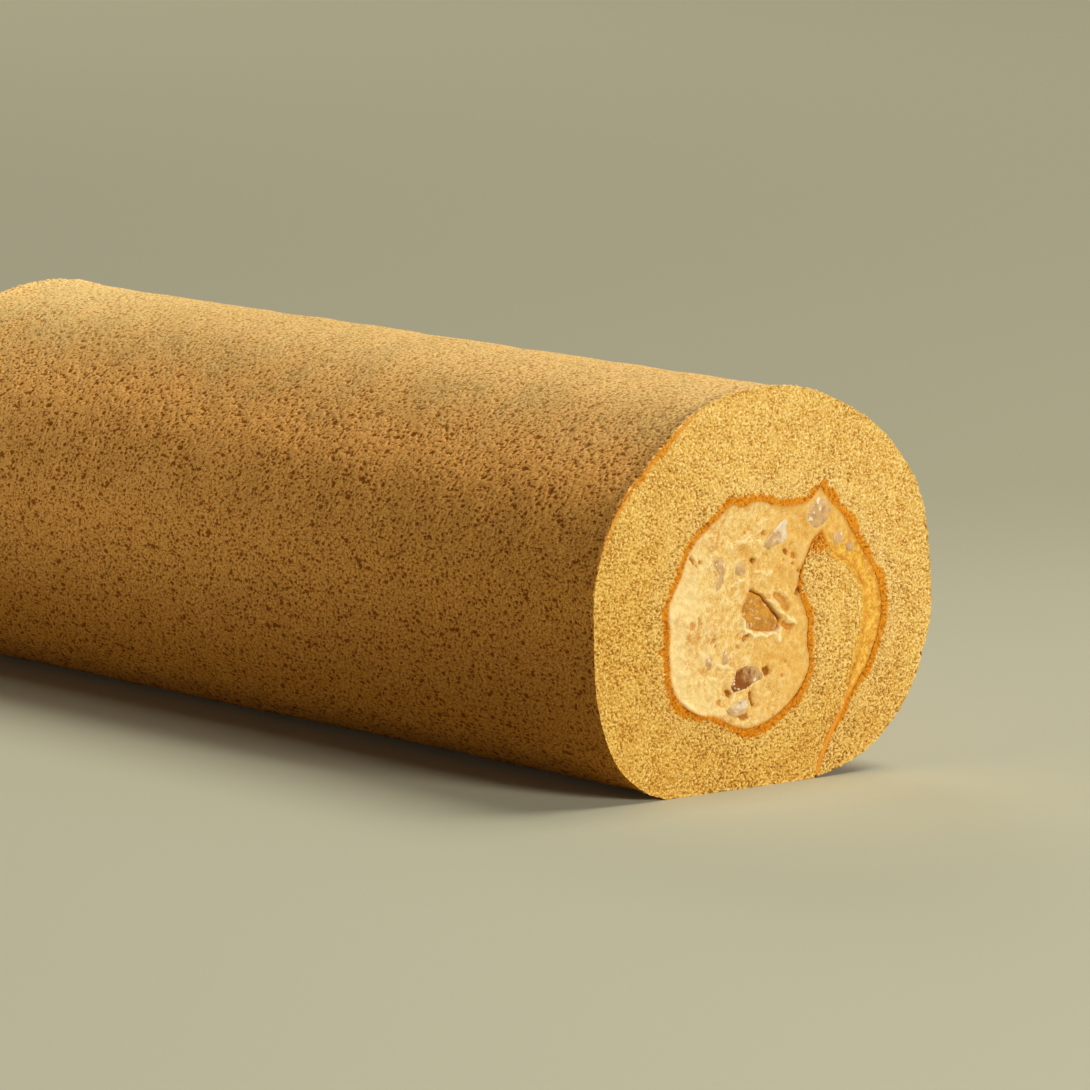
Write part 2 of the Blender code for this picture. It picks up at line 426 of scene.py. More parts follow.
def softened(points, step=0.1 * MM, reach=1.0 * MM):
    """The line without its facets, in steps, with its two ends kept."""
    fine = resampled(points, int(lengths_along(points)[-1] / step) + 1)
    width = int(reach / step)
    before = 2 * fine[0] - fine[width:0:-1]
    after = 2 * fine[-1] - fine[-2 : -width - 2 : -1]
    weights = np.hanning(2 * width + 3)[1:-1]
    padded = np.vstack([before, fine, after])
    return np.column_stack([np.convolve(padded[:, k], weights / weights.sum(), "valid") for k in (0, 1)])


def nearest(points, place):
    return int(np.argmin(np.linalg.norm(points - np.array(place), axis=1)))


def cut_outline():
    """The sheet's outline at the +X cut end of its CAD solid, in order, as (across, up)."""
    shape = bmesh.new()
    shape.from_mesh(frame["nodes"]["sponge_sheet"].data)
    bmesh.ops.remove_doubles(shape, verts=shape.verts, dist=1e-6)
    shape.verts.index_update()
    beside = {}
    for edge in shape.edges:
        at_end = all(v.co.x > HALF_LENGTH - 1e-5 for v in edge.verts)
        if at_end and any(abs(face.normal.x) < 0.5 for face in edge.link_faces):
            a, b = (v.index for v in edge.verts)
            beside.setdefault(a, []).append(b)
            beside.setdefault(b, []).append(a)
    start = min(beside)
    path = [start, beside[start][0]]
    while True:
        ahead = next(v for v in beside[path[-1]] if v != path[-2])
        if ahead == start:
            break
        path.append(ahead)
    shape.verts.ensure_lookup_table()
    outline = np.array([shape.verts[i].co.yz for i in path])
    shape.free()
    return outline


class Section:
    """The rolled sheet's two sides, point for point across from each other, from inner to free end."""

    def __init__(self, step):
        outline = cut_outline()
        outline = np.roll(outline, -nearest(outline, TONGUE_TIP), axis=0)
        free = nearest(outline, FREE_END)
        one = softened(outline[: free + 1])
        other = softened(np.vstack([outline[free:], outline[:1]])[::-1])
        toasted, outer = (one, other) if one[:, 1].min() > other[:, 1].min() else (other, one)
        toasted, outer = self.closed_down(toasted), self.closed_down(outer)
        count = int(lengths_along(toasted)[-1] / step)
        self.toasted = resampled(toasted, count)
        across = self.across_from(self.toasted, outer)
        self.outer = np.column_stack([np.interp(across, range(len(outer)), outer[:, k]) for k in (0, 1)])
        self.outer[0], self.outer[-1] = self.toasted[0], self.toasted[-1]
        self.foot = nearest(self.outer, FOOT_END)
        run = lengths_along(self.outer)
        self.run = run - run[self.foot]
        self.thickness = np.linalg.norm(self.outer - self.toasted, axis=1)

    @staticmethod
    def closed_down(line, reach=6.0 * MM):
        """The line with its free end laid against the foot, so that no notch is left between them."""
        away = np.linalg.norm(line - line[-1], axis=1)
        last = np.arange(len(line)) > len(line) // 2
        share = soften(1.0 - away / reach) * last
        return line + share[:, None] * np.array(FREE_END_SHIFT)

    @staticmethod
    def across_from(toasted, outer, window=250, evening=45):
        """For each point of the toasted side, how far along the outer one its partner is."""
        found = [0]
        for point in toasted[1:]:
            ahead = outer[found[-1] : found[-1] + window]
            found.append(found[-1] + int(np.argmin(np.linalg.norm(ahead - point, axis=1))))
        found = np.array(found, float)
        found[-1] = len(outer) - 1
        padded = np.concatenate([-found[evening:0:-1], found, 2 * found[-1] - found[-2 : -evening - 2 : -1]])
        weights = np.hanning(2 * evening + 3)[1:-1]
        even = np.convolve(padded, weights / weights.sum(), "valid")
        return np.maximum.accumulate(np.clip(even, 0, len(outer) - 1))

    def loop(self, hidden_step=6, foot_step=3):
        """The closed outline as indices into both sides: fine where it shows, coarse where it is hidden."""
        foot, last = self.foot, len(self.outer) - 1
        flat = foot + int(np.argmax(self.outer[foot:, 1] > 0.6 * MM))
        tongue = list(range(0, foot, hidden_step))
        under = list(range(foot, flat, foot_step))
        shown = list(range(flat, last + 1))
        inside = list(range(last - hidden_step, 0, -hidden_step))
        points = np.vstack([self.outer[tongue + under + shown], self.toasted[inside]])
        run = np.concatenate([self.run[tongue + under + shown], np.zeros(len(inside))])
        outside = np.array([0.0] * len(tongue) + [1.0] * (len(under) + len(shown)) + [0.0] * len(inside))
        outside[len(tongue)] = outside[len(tongue) + len(under) + len(shown) - 1] = 0.0
        return points, run, outside


# ---- Modelling ----


def deselect():
    bpy.ops.object.select_all(action="DESELECT")


def take(thing):
    """Makes this the only selected and the active object."""
    deselect()
    thing.select_set(True)
    bpy.context.view_layer.objects.active = thing


def grid(name, columns, rows):
    """A flat grid primitive and, for each of its vertices, its column and row."""
    deselect()
    bpy.ops.mesh.primitive_grid_add(x_subdivisions=columns, y_subdivisions=rows, size=1.0)
    made = bpy.context.object
    made.name = made.data.name = name
    places = read(made.data.vertices, "co", 3)
    column = np.rint((places[:, 0] + 0.5) * columns).astype(int)
    row = np.rint((places[:, 1] + 0.5) * rows).astype(int)
    return made, column, row


def read(items, name, width=1, kind=np.float32):
    values = np.zeros(len(items) * width, kind)
    items.foreach_get(name, values)
    return values.reshape(-1, width) if width > 1 else values


def store(thing, name, values):
    """Keeps a value for each vertex, which operators carry on to new vertices and materials can read."""
    values = np.asarray(values, np.float32)
    kind, field = ("FLOAT", "value") if values.ndim == 1 else ("FLOAT_VECTOR", "vector")
    made = thing.data.attributes.get(name) or thing.data.attributes.new(name, kind, "POINT")
    made.data.foreach_set(field, values.ravel())


def stored(thing, name, width=1):
    made = thing.data.attributes[name]
    return read(made.data, "value" if width == 1 else "vector", width)


def move_vertices(thing, places):
    thing.data.vertices.foreach_set("co", np.asarray(places, np.float32).ravel())
    thing.data.update()


def edit(thing, select="VERT"):
    take(thing)
    bpy.ops.object.mode_set(mode="EDIT")
    bpy.ops.mesh.select_mode(type=select)
    bpy.ops.mesh.select_all(action="SELECT")


def done():
    bpy.ops.object.mode_set(mode="OBJECT")


def close_ends(thing):
    """Fills each open loop of edges with one face and turns all faces outwards."""
    edit(thing, "EDGE")
    bpy.ops.mesh.select_all(action="DESELECT")
    bpy.ops.mesh.select_non_manifold(extend=False)
    bpy.ops.mesh.edge_face_add()
    bpy.ops.mesh.select_all(action="SELECT")
    bpy.ops.mesh.normals_make_consistent(inside=False)
    done()


def relief(thing, name, height):
    """Moves the surface along its normals by a height, with Geometry Nodes, and applies it."""
    tree = bpy.data.node_groups.get(name)
    if tree is None:
        tree = bpy.data.node_groups.new(name, "GeometryNodeTree")
        tree.interface.new_socket(name="Geometry", in_out="INPUT", socket_type="NodeSocketGeometry")
        tree.interface.new_socket(name="Geometry", in_out="OUTPUT", socket_type="NodeSocketGeometry")
        start = tree.nodes.new("NodeGroupInput")
        end = tree.nodes.new("NodeGroupOutput")
        normal = put(tree, "GeometryNodeInputNormal").outputs[0]
        place = put(tree, "GeometryNodeInputPosition").outputs[0]
        by = put(tree, "ShaderNodeVectorMath", [(0, normal)], operation="SCALE")
        tree.links.new(height(tree, place), by.inputs["Scale"])
        pairs = [("Geometry", start.outputs[0]), ("Offset", by.outputs[0])]
        moved = put(tree, "GeometryNodeSetPosition", pairs)
        tree.links.new(moved.outputs[0], end.inputs[0])
    made = thing.modifiers.new(name, "NODES")
    made.node_group = tree
    take(thing)
    bpy.ops.object.modifier_apply(modifier=made.name)


def named(tree, name, kind="FLOAT"):
    return put(tree, "GeometryNodeInputNamedAttribute", [("Name", name)], data_type=kind).outputs[0]


def finish_piece(thing, materials, node, angle=65.0):
    """Gives a piece its materials and smooth shading, and joins it to the frame in place of a node."""
    for one in materials:
        thing.data.materials.append(one)
    take(thing)
    bpy.ops.object.shade_smooth_by_angle(angle=math.radians(angle))
    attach(thing, BODY)
    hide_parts(node)


# ---- Sponge ----


def sponge_relief_height(settings):
    """Height of the crumb where the sheet is cut, and of the felt where it is skin."""

    def height(tree, place):
        flat = stretch(tree, place, (0.0, 1.0, 1.0))
        skin = named(tree, "place", "FLOAT_VECTOR")
        along, _, up = axes(tree, place)
        depth, grain = pattern(tree, crumb, flat, settings.crumb_cell)
        swell = noise(tree, flat, 8.0 * MM, 1.0)
        holed = (depth, 0.0, -settings.crumb_depth)
        at_cut = total(tree, holed, (grain, 0.55, 0.8 * MM), (swell, 0.6, 0.6 * MM))
        depth, fuzz, _ = pattern(tree, felt, skin, settings.pit_spacing)
        felted = total(tree, (depth, 0.0, -settings.pit_depth), (fuzz, 0.62, 0.24 * MM))
        felted = times(tree, felted, ease(tree, up, 56.0 * MM, 72.0 * MM, 1.0, 0.6))
        dents = noise(tree, skin, 14.0 * MM, 2.0)
        rim = ease(tree, calc(tree, "ABSOLUTE", along), HALF_LENGTH - TORN_RIM, HALF_LENGTH)
        torn = times(tree, rim, noise(tree, place, 0.8 * MM, 2.0))
        parts = total(tree, (felted, 0.0, 1.0), (dents, 0.62, 0.8 * MM), (torn, 0.3, 1.1 * MM))
        return blend(tree, named(tree, "cut"), times(tree, parts, named(tree, "outside")), at_cut)

    return height


def crumb_material(settings, strip_colour):
    """Open crumb, toasted beside the filling and in one corner beside the outside, with painted shade at its
    lower left.
    """
    made, tree, shader = new_material("sponge_crumb", Roughness=0.85, Specular_IOR_Level=0.08)
    at = object_place(tree, (0.0, 1.0, 1.0))
    _, across, up = axes(tree, at)
    depth, grain = pattern(tree, crumb, at, settings.crumb_cell)
    broad, fine = pattern(tree, mottle, at, 1.0 * MM)
    browned, rind, width = (attribute(tree, name) for name in ("browned", "rind", "band"))
    # Distance up and to the right across the cut end, which sets the painted shade towards its lower left
    painted_shade_diagonal = total(tree, (across, 0.0, 0.6), (up, 0.0, 0.8))
    ragged = total(tree, (noise(tree, at, 1.6 * MM, 3.0, 0.7), 0.5, 2.6 * MM), (fine, 0.5, 1.6 * MM))
    swollen = total(tree, (noise(tree, at, 3.5 * MM, 1.0), 0.5, 2.4 * MM), (ragged, 0.0, 1.0))

    # Lighter on the raised grain: partly the crumb's own colour, partly painted light
    base = layered(
        tree,
        settings.wall,
        (broad, 0.38, 0.62, 1.0, [c * k for c, k in zip(settings.wall, (0.89, 0.80, 0.62))]),
        (grain, 0.51, 0.64, 1.0, settings.bright),
        (browned, 7.0 * MM, 3.0 * MM, 0.2, settings.bright),
    )
    # Painted shade: the holes darken more towards the cut end's lower left
    strength = ease(tree, painted_shade_diagonal, 55.0 * MM, 0.0, 0.9, 1.3)
    # Darker in the holes: partly the crumb's own colour, partly painted shade
    base = tint(tree, times(tree, ease(tree, depth, 0.1, 0.8), strength), base, settings.hole)
    base = layered(tree, base, (fine, 0.5, 0.66, 0.35, settings.hole))
    base = layered(tree, base, (fine, 0.5, 0.34, 0.3, settings.bright))

    # The toasted skin darkens in its holes and pales on its raised grain, partly painted shade and light
    skin = layered(
        tree,
        settings.toasted,
        (depth, 0.15, 0.8, 1.0, settings.toasted_dark),
        (fine, 0.48, 0.62, 0.45, settings.toasted_dark),
        (grain, 0.54, 0.66, 0.2, settings.wall),
    )
    inward = calc(tree, "DIVIDE", calc(tree, "ADD", browned, swollen), calc(tree, "ADD", width, 0.05 * MM))
    base = tint(tree, ease(tree, inward, 1.05, 0.82), base, skin)
    beside = ease(tree, total(tree, (rind, 0.0, 1.0), (ragged, 0.0, 0.6)), 1.4 * MM, 0.4 * MM)
    smeared = times(tree, attribute(tree, "tongue"), ease(tree, up, 12.0 * MM, 18.0 * MM, 0.0, 0.8))
    base = tint(tree, times(tree, beside, smeared), base, strip_colour)
    corner = times(tree, ease(tree, up, 44.0 * MM, 58.0 * MM), ease(tree, across, -14.0 * MM, -22.0 * MM))
    edge = ease(tree, total(tree, (rind, 0.0, 1.0), (swollen, 0.0, 0.9)), 1.5 * MM, 0.5 * MM, 0.0, 0.9)
    base = tint(tree, times(tree, corner, edge), base, skin)
    # Painted shade: the whole cut end darkens towards its lower left
    base = layered(tree, base, (painted_shade_diagonal, 50.0 * MM, 2.0 * MM, 1.0, shade(tree, base, (0.91, 0.85, 0.66))))
    tip = vector(tree, "DISTANCE", at, (0.0, *TONGUE_TIP), "Value")
    tip = ease(tree, total(tree, (tip, 0.0, 1.0), (ragged, 0.0, 1.8)), 6.4 * MM, 3.4 * MM, 0.0, 0.9)
    base = tint(tree, times(tree, tip, attribute(tree, "tip")), base, skin)
    tree.links.new(base, shader.inputs["Base Color"])
    rise = total(tree, (fine, 0.0, 0.5), (depth, 0.0, -1.0))
    tree.links.new(bump(tree, rise, 0.5, 0.25 * MM), shader.inputs["Normal"])
    return made


def outside_material(settings):
    """Felted pitted skin, paler on top, partly painted light; painted shade on the near flank and foot,
    painted light on the far end.
    """
    made, tree, shader = new_material("sponge_outside", Roughness=0.85, Specular_IOR_Level=0.1)
    at = attribute(tree, "place", "Vector")
    depth, fuzz, threads = pattern(tree, felt, at, settings.pit_spacing)
    broad, fine = pattern(tree, mottle, at, 1.5 * MM)
    along, _, up = axes(tree, object_place(tree))
    up = total(tree, (broad, 0.5, 18.0 * MM), (up, 0.0, 1.0))
    # Paler on top and more orange below it: partly the skin's own colour, partly painted light for the glow
    # through the sponge
    crown = ease(tree, up, 57.0 * MM, 79.0 * MM)
    base = tint(tree, crown, settings.low, settings.top)
    # Painted shade: the flank darkens towards the near cut end, where the light falls off
    flank = times(tree, ease(tree, up, 66.0 * MM, 40.0 * MM), ease(tree, up, 6.0 * MM, 30.0 * MM, 0.4, 1.0))
    near = times(tree, ease(tree, along, -60.0 * MM, 110.0 * MM), flank)
    base = tint(tree, near, base, shade(tree, base, (0.70, 0.64, 0.47)))
    # Painted shade: darker and browner towards the foot, where the roll meets the floor
    base = layered(tree, base, (up, 44.0 * MM, 10.0 * MM, 1.0, shade(tree, base, (0.50, 0.42, 0.20))))
    # Painted light: the flank is made lighter towards the far end
    far = times(tree, ease(tree, along, -40.0 * MM, -110.0 * MM), ease(tree, up, 35.0 * MM, 60.0 * MM))
    base = tint(tree, far, base, shade(tree, base, (1.15, 1.22, 1.30)))

    light = shade(tree, base, (1.30, 1.45, 2.0))
    dark = shade(tree, base, (0.66, 0.54, 0.36))
    pit_painted_shade = shade(tree, base, (0.40, 0.25, 0.08))
    # Lighter on the raised felt and darker in its dips: partly the skin's own colour, partly painted light
    # and shade
    base = layered(
        tree,
        base,
        (fine, 0.50, 0.62, 0.35, dark),
        (fine, 0.50, 0.38, 0.35, light),
        (broad, 0.52, 0.64, 0.3, dark),
        (broad, 0.46, 0.36, 0.25, light),
        (fuzz, 0.53, 0.38, 0.8, dark),
        (fuzz, 0.50, 0.64, 0.9, light),
    )
    base = tint(tree, times(tree, threads, 0.75), base, light)
    # Darker in the pits, less so on top: partly the skin's own colour, partly painted shade
    pitted = times(tree, ease(tree, depth, 0.05, 0.75), ease(tree, crown, 0.0, 1.0, 0.95, 0.55))
    base = tint(tree, pitted, base, pit_painted_shade)
    tree.links.new(base, shader.inputs["Base Color"])
    rise = total(tree, (fuzz, 0.0, 1.0), (fine, 0.0, 0.4), (depth, 0.0, -1.0))
    tree.links.new(bump(tree, rise, 0.2, 0.3 * MM), shader.inputs["Normal"])
    return made


def band_width(section):
    """Width of the toasted band beside each point of the sheet's toasted side."""
    toasted = section.toasted
    marks = sorted((nearest(toasted, np.array(place) * MM), width * MM) for place, width in BAND_WIDTHS)
    return np.interp(range(len(toasted)), *zip(*marks))


def cut_faces(thing):
    """True for each face that lies wholly in a cut."""
    cut = stored(thing, "cut")
    start = read(thing.data.polygons, "loop_start", kind=np.int32)
    corner = read(thing.data.loops, "vertex_index", kind=np.int32)
    return np.minimum.reduceat(cut[corner], start) > CUT_EDGE / 2


def sponge_end(name, section, side, settings, materials):
    """One cut end: the flat sheet rolled onto the section, a rim back from its edge, and a plain back."""
    columns = len(section.toasted) - 1
    rows = int(np.median(section.thickness) / (ROW_STEP * settings.end_step))
    made, column, row = grid(name, columns, rows)
    share = (row / rows)[:, None]
    places = section.toasted[column] * (1 - share) + section.outer[column] * share
    move_vertices(made, np.column_stack([np.full(len(places), side * HALF_LENGTH), places]))
    distance = section.thickness[column]
    run = section.run[column]
    store(made, "place", np.column_stack([run, np.zeros(len(column)), np.zeros(len(column))]))
    store(made, "outside", (row == rows) & (column > section.foot) & (column < columns))
    store(made, "browned", distance * row / rows)
    store(made, "rind", distance * (1 - row / rows))
    store(made, "band", band_width(section)[column])
    store(made, "tongue", np.clip(-run / TONGUE_FADE, 0, 1))
    store(made, "tip", column < nearest(section.toasted, TONGUE_MIDDLE))
    store(made, "cut", np.ones(len(column)))
    edit(made)
    bpy.ops.mesh.remove_doubles(threshold=1e-6)
    done()
    facing = sum(face.normal.x for face in made.data.polygons[:50])
    edit(made, "EDGE")
    if facing * side < 0:
        bpy.ops.mesh.flip_normals()
    bpy.ops.mesh.region_to_loop()
    rings = int(round(END_DEPTH / (RING_STEP * settings.end_step)))
    for _ in range(rings):
        bpy.ops.mesh.extrude_edges_move(TRANSFORM_OT_translate={"value": (-side * END_DEPTH / rings, 0, 0)})
    done()
    places = read(made.data.vertices, "co", 3)
    where = stored(made, "place", 3)
    where[:, 1] = places[:, 0]
    store(made, "place", where)
    at_cut = np.abs(places[:, 0]) > HALF_LENGTH - 1e-6
    store(made, "cut", np.where(stored(made, "outside") > 0.5, CUT_EDGE * at_cut, at_cut))
    relief(made, "sponge relief", sponge_relief_height(settings))
    close_ends(made)
    made.data.polygons.foreach_set("material_index", np.where(cut_faces(made), 0, 1).astype(np.int32))
    finish_piece(made, materials, "sponge_sheet")


def sponge_body(name, section, start, stop, settings, materials):
    """A length of the roll between the two end pieces: a grid rolled round the section's outline."""
    outline, run, outside = section.loop()
    columns = len(outline)
    rows = int(round((stop - start) / (LENGTH_STEP * settings.body_step)))
    made, column, row = grid(name, columns, rows)
    at = column % columns
    x = start + (stop - start) * row / rows
    move_vertices(made, np.column_stack([x, outline[at]]))
    store(made, "place", np.column_stack([run[at], x, np.zeros(len(at))]))
    store(made, "outside", outside[at])
    store(made, "cut", np.zeros(len(at)))
    edit(made)
    bpy.ops.mesh.remove_doubles(threshold=1e-6)
    bpy.ops.mesh.normals_make_consistent(inside=False)
    done()
    relief(made, "sponge relief", sponge_relief_height(settings))
    close_ends(made)
    finish_piece(made, materials[1:], "sponge_sheet")


# ---- Cream ----

# The sunken chunk lies in a bed of its own, whose outline in mm is the last of the marks
SUNKEN_CHUNK = "fruit_chunk_07"
SUNKEN_BED = [
    (-3.4, 37.2), (-0.5, 36.0), (2.2, 33.4), (4.3, 31.0), (3.9, 29.4), (1.8, 29.0), (-1.4, 29.3),
    (-4.2, 30.1), (-5.1, 32.2), (-5.2, 34.0), (-4.2, 35.4),
]

# Marks on the cut cream at the near end, in mm: the places (across, up) that each runs through, its radius,
# its height, below zero for a hollow, and its colour: up to 1 is stained, down to -1 is pale. The stain in
# the hollows is partly painted shade, the pale on ridges partly painted light. True closes the line through
# the places and fills it.
NEAR_MARKS = [
    ([(-2.9, 42.7)], 0.8, -1.3, 1.0), ([(-15.5, 43.5)], 0.6, -1.0, 1.0),
    ([(-17.8, 44.4), (-16.7, 43.0)], 0.5, -0.8, 0.9), ([(-0.4, 47.7)], 0.7, -0.8, 0.9),
    ([(5.4, 43.7)], 0.7, -0.8, 1.0), ([(7.0, 42.5)], 0.8, -0.7, 0.8), ([(7.1, 41.0)], 0.6, -0.7, 0.9),
    ([(4.6, 41.9)], 0.5, -0.5, 0.8), ([(6.3, 44.9)], 0.5, -0.5, 0.8), ([(8.2, 39.9)], 0.6, -0.6, 0.9),
    ([(3.6, 40.4)], 0.5, -0.4, 0.7), ([(8.6, 37.6), (8.0, 35.4)], 0.7, -0.8, 0.9),
    ([(-17.5, 31.5)], 1.2, -0.8, 0.7), ([(-15.7, 33.0), (-15.9, 31.2)], 0.6, -0.6, 0.7),
    ([(-12.3, 28.3)], 0.9, -1.0, 0.8), ([(-6.6, 26.6)], 0.6, -0.6, 0.8), ([(-10.8, 16.9)], 0.8, -0.8, 0.7),
    ([(-3.4, 17.6), (-2.9, 15.6)], 0.6, -0.9, 1.0), ([(-4.6, 28.4)], 1.2, -0.9, 0.9),
    ([(0.4, 34.9), (3.6, 32.3), (5.4, 31.4), (7.6, 30.0)], 0.6, 0.5, -1.0),
    ([(3.2, 35.4), (5.4, 33.4)], 1.3, -0.9, 0.7), ([(5.0, 29.9), (6.6, 29.2)], 0.9, -0.9, 0.8),
    ([(-5.4, 32.0), (-4.9, 29.6), (-3.0, 28.6), (0.0, 28.3), (2.3, 28.5)], 0.8, 0.7, -1.0),
    ([(3.6, 29.6), (3.5, 27.2)], 0.9, 0.6, -0.9),
    ([(-19.4, 17.2), (-16.6, 14.9), (-13.6, 13.5)], 1.4, 0.6, -1.0),
    ([(-8.0, 38.4), (-4.4, 39.7)], 0.5, 0.4, -0.8),
    ([(-2.6, 40.7), (0.0, 39.9), (1.4, 40.1)], 0.5, 0.4, -0.8),
    ([(-6.5, 46.2), (-1.6, 47.9)], 0.4, 0.35, -0.7), ([(-8.6, 23.0), (-11.6, 23.8)], 0.6, 0.35, -0.8),
    ([(-13.4, 21.8), (-12.0, 21.0)], 0.7, 0.3, -0.8), ([(-9.0, 44.6), (-5.5, 44.9)], 0.8, -0.3, 0.3),
    ([(0.6, 21.6)], 1.5, -0.9, 1.0), ([(-8.7, 18.2)], 1.0, -1.0, 1.0),
    ([(-6.3, 14.0), (-4.4, 13.4)], 1.2, -0.5, 0.9), ([(9.3, 50.0), (9.9, 46.0)], 1.2, -0.3, 0.5),
    (SUNKEN_BED, 0.7, -1.9, 0.9, True),
]

# Radius in mm, height, colour and closing of the mark round each other chunk; its slight stain is partly
# painted shade
BED = (0.8, -0.05, 0.25, True)

# Outlines of the cut faces of some chunks, in mm from the middle
CHUNK_SHAPES = {
    "fruit_chunk_01": [
        (-0.3, 3.4), (2.0, 1.6), (3.0, 0.3), (1.9, -1.6), (0.7, -2.7), (-0.9, -3.1), (-1.9, -2.9),
        (-3.2, -1.3), (-3.0, 0.5), (-1.7, 1.6),
    ],
    "fruit_chunk_04": [
        (1.8, 2.7), (2.6, 2.2), (2.5, -1.2), (1.8, -1.7), (-2.0, -3.0), (-3.4, -2.2), (-2.2, -0.4),
    ],
    "fruit_chunk_05": [
        (-1.5, 1.6), (-0.5, 2.2), (1.2, 1.6), (1.3, -0.4), (1.0, -1.8), (1.3, -2.9), (0.2, -4.0),
        (-1.0, -4.6), (-1.0, -3.2), (-0.1, -1.6), (-1.2, 0.2),
    ],
    "fruit_chunk_07": [
        (-2.2, 4.8), (0.7, 3.5), (1.6, 2.5), (3.5, 0.5), (5.4, -1.6), (5.0, -3.1), (3.0, -3.5),
        (-0.2, -3.2), (-1.8, -2.8), (-3.2, -2.4), (-4.0, -0.3), (-4.1, 1.4), (-3.0, 2.8),
    ],
    "fruit_chunk_08": [
        (0.0, 2.1), (0.7, 0.8), (1.2, -0.6), (0.6, -1.2), (0.2, -2.0), (-0.6, -1.8), (-1.1, -0.8),
        (-0.8, 0.5), (-0.3, 1.3),
    ],
    "fruit_chunk_09": [
        (0.3, 1.7), (1.1, 1.1), (1.1, -0.2), (0.4, -1.7), (-0.3, -1.6), (-0.9, -0.4), (-1.0, 0.9),
    ],
    "fruit_chunk_10": [
        (-2.5, 1.5), (-0.2, 2.2), (2.4, 1.8), (3.8, 0.5), (4.0, -0.6), (2.0, -1.3), (-0.2, -2.4),
        (-3.1, -2.8), (-4.1, -1.6), (-3.1, -0.1),
    ],
    "fruit_chunk_11": [
        (-3.0, -0.3), (-1.6, 0.6), (0.2, 1.5), (1.6, 1.6), (2.5, 0.9), (2.2, -0.4), (1.0, -1.6),
        (-0.8, -1.8), (-2.1, -1.3),
    ],
}
CHUNK_CORNERS = 8
CHUNKS = sorted(name for name in frame["nodes"] if name.startswith("fruit_chunk"))


def in_tail(places, top, fade):
    """1 in the filling's thin tail in the seam and 0 elsewhere, fading in below its top."""
    return soften((top - places[:, 1]) / fade) * soften((places[:, 0] - 10.0 * MM) / (2.0 * MM))


def filling_outline(section, overlap=0.32 * MM, step=0.4 * MM):
    """The outline of the space inside the roll, just into the sheet, down to the seam's end.

    It runs counter-clockwise.
    """
    inner = section.toasted[: nearest(section.toasted, SEAM_END) + 1]
    tongue = section.outer[: nearest(section.outer[: section.foot], SEAM_END) + 1]
    ring = np.vstack([inner, tongue[:0:-1]])
    ring = resampled(np.vstack([ring, ring[:1]]), int(lengths_along(ring)[-1] / step))[:-1]
    area = np.sum(ring[:, 0] * np.roll(ring[:, 1], -1) - ring[:, 1] * np.roll(ring[:, 0], -1))
    if area < 0:
        ring = ring[::-1]
    ahead = np.roll(ring, -1, axis=0) - np.roll(ring, 1, axis=0)
    ahead /= np.linalg.norm(ahead, axis=1)[:, None]
    wider = overlap + 0.1 * MM * in_tail(ring, 15.0 * MM, 8.0 * MM)
    return ring - wider[:, None] * np.column_stack([-ahead[:, 1], ahead[:, 0]])


def prism(name, outline, start, stop):
    """The outline run along X from start to stop, as a closed solid."""
    deselect()
    bpy.ops.mesh.primitive_circle_add(vertices=len(outline), radius=0.01, fill_type="NGON")
    made = bpy.context.object
    made.name = made.data.name = name
    move_vertices(made, np.column_stack([np.full(len(outline), start), outline]))
    edit(made, "FACE")
    bpy.ops.mesh.extrude_region_move(TRANSFORM_OT_translate={"value": (stop - start, 0, 0)})
    bpy.ops.mesh.select_all(action="SELECT")
    bpy.ops.mesh.normals_make_consistent(inside=False)
    done()
    return made


def distance_to(points, path, closed=False):
    """Distance of each point to a line through the path's points, below zero inside it if it is closed."""
    path = np.atleast_2d(np.array(path, float))
    if len(path) == 1:
        return np.linalg.norm(points - path[0], axis=1)
    ends = np.roll(path, -1, axis=0) if closed else path[1:]
    nearest_yet = np.full(len(points), np.inf)
    inside = np.zeros(len(points), bool)
    for a, b in zip(path, ends):
        along = np.clip((points - a) @ (b - a) / max((b - a) @ (b - a), 1e-12), 0, 1)
        nearest_yet = np.minimum(nearest_yet, np.linalg.norm(points - a - along[:, None] * (b - a), axis=1))
        crosses = (points[:, 1] < a[1]) != (points[:, 1] < b[1])
        level = a[0] + (points[:, 1] - a[1]) * (b[0] - a[0]) / (b[1] - a[1] + 1e-12)
        inside ^= crosses & (points[:, 0] < level)
    return np.where(inside & closed, -nearest_yet, nearest_yet)


def work_front(thing, side, outline, marks, beds):
    """Presses marks into a cut front or raises them, and stores where the cream is stained, pale or calm."""
    places = read(thing.data.vertices, "co", 3)
    flat = places[:, 1:] / MM
    front = soften((places[:, 0] * side - HALF_LENGTH + 2.0 * MM) / (1.2 * MM))
    stain, pale, rise = np.zeros((3, len(places)))
    ragged = flat + 0.2 * np.sin(2.3 * flat[:, ::-1] + 1.0) + 0.08 * np.sin(6.1 * flat[:, ::-1])
    for path, radius, height, colour_share, *closed in marks:
        away = distance_to(flat if closed else ragged, path, bool(closed))
        share = soften((0.5 if closed else 1.0) - away / radius)
        core = soften(1.7 * share)
        rise = np.where(np.abs(height * share) > np.abs(rise), height * share, rise)
        stain = np.maximum(stain, core * max(colour_share, 0))
        pale = np.maximum(pale, core * max(-colour_share, 0))
    rise += 0.3 * in_tail(places[:, 1:], 17.0 * MM, 5.0 * MM)
    places[:, 0] += side * rise * MM * front
    move_vertices(thing, places)
    skin = -distance_to(flat, outline / MM, True)
    calm = 0.3 + 0.7 * soften(skin / 1.5)
    for bed in beds:
        calm = np.minimum(calm, soften(distance_to(flat, bed, True) / 1.2))
    for label, values in (("stain", stain), ("pale", pale), ("skin", skin * MM), ("calm", calm)):
        store(thing, label, values)


